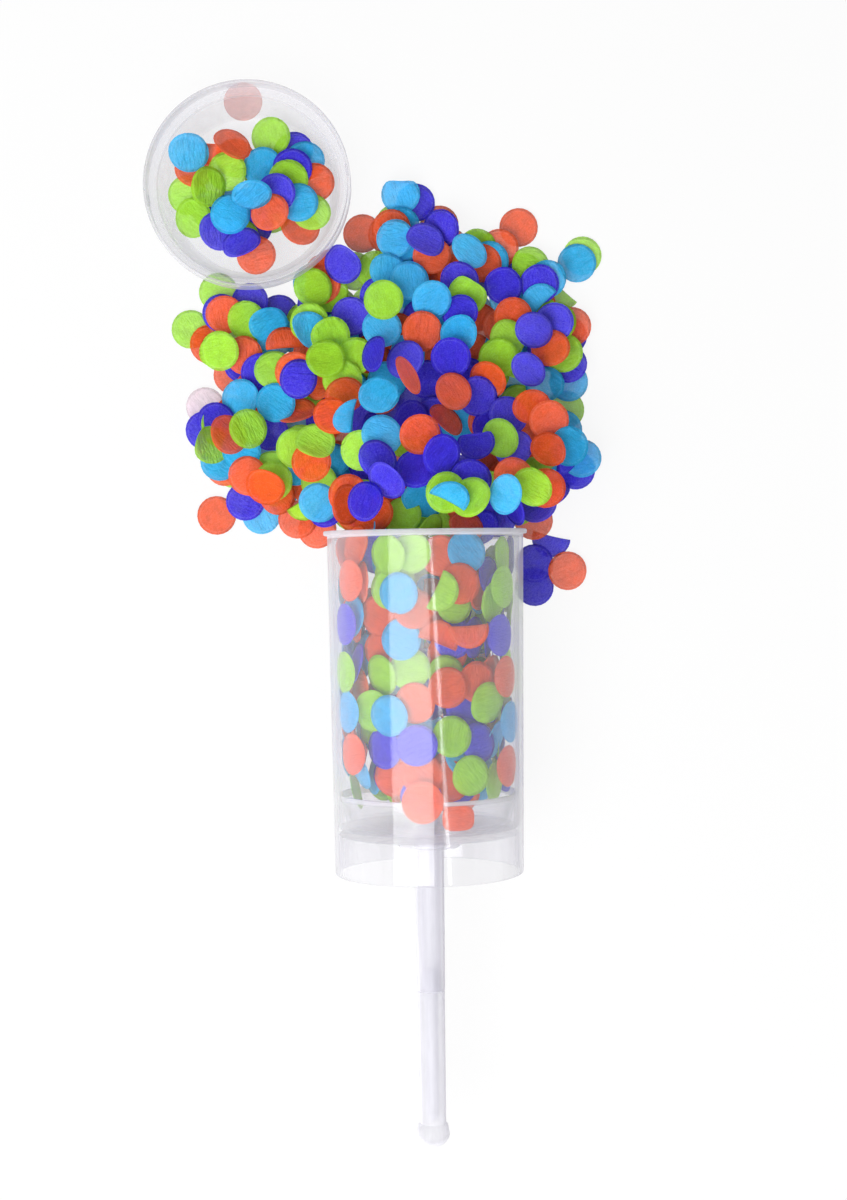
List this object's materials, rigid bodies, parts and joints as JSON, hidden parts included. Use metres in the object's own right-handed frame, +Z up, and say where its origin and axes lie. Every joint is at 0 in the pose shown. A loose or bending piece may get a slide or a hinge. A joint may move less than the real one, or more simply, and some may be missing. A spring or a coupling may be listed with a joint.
{
  "type": "confetti popper",
  "caption": "Clear push-up confetti popper lying on its side, cap off, with a piston on a two-part stick and tissue-paper discs in and around it.",
  "frame": {"origin": "on the table where the flange round the barrel mouth touches it", "axes": "+Y from the stick towards the mouth, +Z up from the table, +X to the right of someone who looks from the stick to the mouth"},
  "size_m": [0.1156, 0.2651, 0.0504],
  "materials": {
    "clear_plastic": "clear, faintly milky injection-moulded plastic with a glossy skin",
    "orange_tissue": "matt crimped tissue paper",
    "lime_tissue": "matt crimped tissue paper",
    "sky_tissue": "matt crimped tissue paper",
    "violet_tissue": "matt crimped tissue paper",
    "pink_tissue": "matt crimped tissue paper"
  },
  "bodies": {
    "barrel": {"barrel": "clear_plastic", "spilled_confetti_lime": "lime_tissue", "spilled_confetti_orange": "orange_tissue", "spilled_confetti_pink": "pink_tissue", "spilled_confetti_sky": "sky_tissue", "spilled_confetti_violet": "violet_tissue"},
    "plunger": {"piston": "clear_plastic", "stem": "clear_plastic", "stick": "clear_plastic", "barrel_confetti_lime": "lime_tissue", "barrel_confetti_orange": "orange_tissue", "barrel_confetti_sky": "sky_tissue", "barrel_confetti_violet": "violet_tissue"},
    "cap": {"cap": "clear_plastic", "cap_confetti_lime": "lime_tissue", "cap_confetti_orange": "orange_tissue", "cap_confetti_sky": "sky_tissue", "cap_confetti_violet": "violet_tissue"}
  },
  "joints": [
    {"name": "piston_push", "type": "slide", "parent": "barrel", "child": "plunger", "axis": [0, 0.9998, 0.0217], "range_m": [0, 0.064], "deforming": ["barrel_confetti_lime", "barrel_confetti_orange", "barrel_confetti_sky", "barrel_confetti_violet"]},
    {"name": "cap_lift", "type": "slide", "parent": "barrel", "child": "cap", "axis": [0, 0, 1], "range_m": [0, 0.1]}
  ]
}
